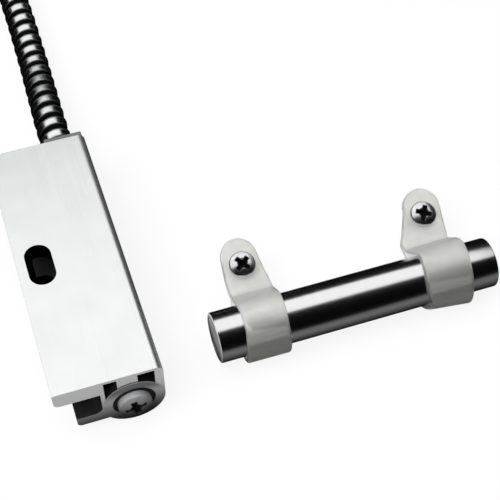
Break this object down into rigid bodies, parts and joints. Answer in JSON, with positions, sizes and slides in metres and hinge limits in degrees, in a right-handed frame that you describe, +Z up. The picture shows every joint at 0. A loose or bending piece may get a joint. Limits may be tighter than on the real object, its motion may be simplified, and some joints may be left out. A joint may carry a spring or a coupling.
{
  "type": "overhead door contact",
  "caption": "Floor-mounted magnetic door switch in an extruded aluminium housing with an armoured cable, and its tubular magnet held in two screwed nylon clips.",
  "frame": {"origin": "on the surface that both halves lie on, on the axis of the slotted fixing hole", "axes": "+X across from the fixing hole to the magnet and along its tube, +Y along the housing towards its cable, +Z up out of the surface"},
  "size_m": [0.1212, 0.2607, 0.019],
  "materials": {
    "extruded_aluminium": "clear anodised extrusion, satin",
    "plug_plastic": "moulded, matt black",
    "zinc_steel": "bright zinc plate",
    "cap_plastic": "moulded, dark grey",
    "capsule_glass": "clear, faintly green",
    "nickel_iron": "drawn nickel-iron wire",
    "plated_contact": "pressed blade with a plated tip",
    "solder": "solder",
    "black_insulation": "extruded insulation",
    "red_insulation": "extruded insulation",
    "potting_resin": "cast resin",
    "hose_steel": "interlocked strip, bright",
    "bushing_plastic": "moulded",
    "bright_tube": "polished tube",
    "disc_plastic": "moulded, light grey",
    "magnet_alloy": "bare cast magnet alloy",
    "spacer_plastic": "moulded",
    "natural_nylon": "natural nylon, slightly translucent"
  },
  "bodies": {
    "switch": {"housing": "extruded_aluminium", "end_plug": "plug_plastic", "end_screw": "zinc_steel", "cable_cap": "cap_plastic", "glass_capsule": "capsule_glass", "lower_stem": "nickel_iron", "upper_stem": "nickel_iron", "lower_solder": "solder", "upper_solder": "solder", "black_lead": "black_insulation", "red_lead": "red_insulation", "potting": "potting_resin", "armoured_cable": "hose_steel", "cable_coil": "hose_steel", "armour_bushing": "bushing_plastic", "black_tail": "black_insulation", "red_tail": "red_insulation"},
    "lower_reed": {"lower_blade": "plated_contact"},
    "upper_reed": {"upper_blade": "plated_contact"},
    "magnet": {"magnet_tube": "bright_tube", "near_disc": "disc_plastic", "far_disc": "disc_plastic", "near_magnet": "magnet_alloy", "far_magnet": "magnet_alloy", "magnet_spacer": "spacer_plastic", "near_clip": "natural_nylon", "far_clip": "natural_nylon", "near_clip_screw": "zinc_steel", "far_clip_screw": "zinc_steel"}
  },
  "joints": [
    {"name": "door_travel", "type": "slide", "parent": "switch", "child": "magnet", "axis": [0, 0, 1], "range_m": [0, 0.1]},
    {"name": "lower_reed_flex", "type": "hinge", "parent": "switch", "child": "lower_reed", "pos_m": [0.01243, -0.01148, 0.0076], "axis": [0, 0, -1], "range_deg": [0, 0.66], "stiffness_Nm_per_rad": 0.001},
    {"name": "upper_reed_flex", "type": "hinge", "parent": "switch", "child": "upper_reed", "pos_m": [0.01298, 0.01252, 0.0076], "axis": [0, 0, -1], "range_deg": [0, 0.66], "stiffness_Nm_per_rad": 0.001}
  ],
  "couplings": [
    {"joint": "upper_reed_flex", "follows": "lower_reed_flex", "ratio": 1}
  ]
}
